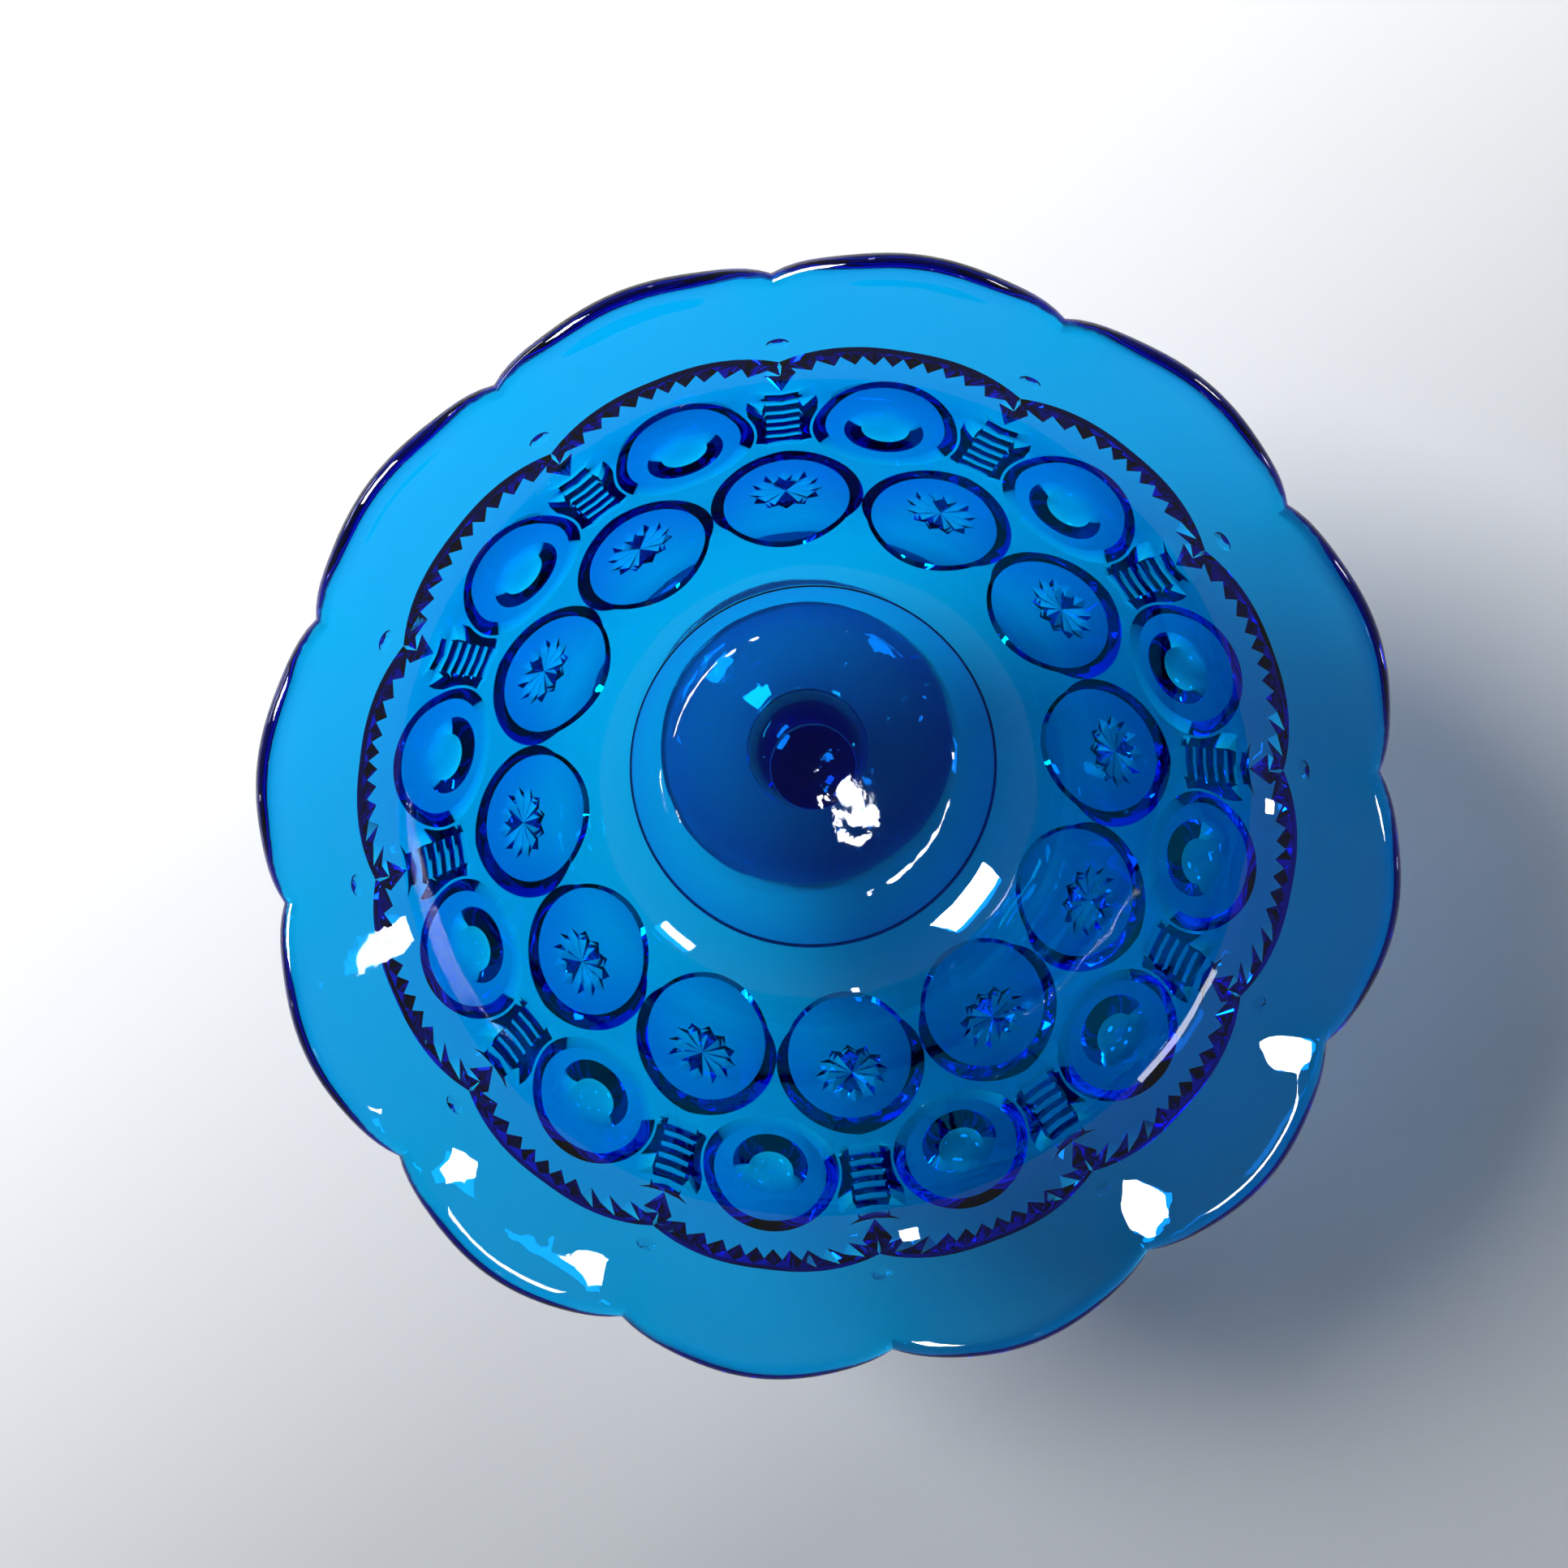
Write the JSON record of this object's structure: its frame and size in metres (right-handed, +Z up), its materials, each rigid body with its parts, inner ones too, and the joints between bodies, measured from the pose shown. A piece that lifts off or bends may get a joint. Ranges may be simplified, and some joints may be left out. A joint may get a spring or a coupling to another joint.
{
  "type": "footed bowl",
  "caption": "Transparent blue pressed-glass bowl with a scalloped flared rim and star and crescent medallions, on a knopped stem and round foot.",
  "frame": {"origin": "middle of the foot's base, on the surface it stands on", "axes": "+Z up along the stem, +X through a lobe of the rim"},
  "size_m": [0.254, 0.254, 0.1714],
  "materials": {
    "bowl_glass": "pressed and fire-polished transparent blue glass",
    "stem_glass": "pressed transparent blue glass, deeper in colour where it is thick"
  },
  "bodies": {
    "root": {"bowl": "bowl_glass", "joining_wafer": "stem_glass", "stem": "stem_glass", "foot": "stem_glass"}
  },
  "joints": []
}
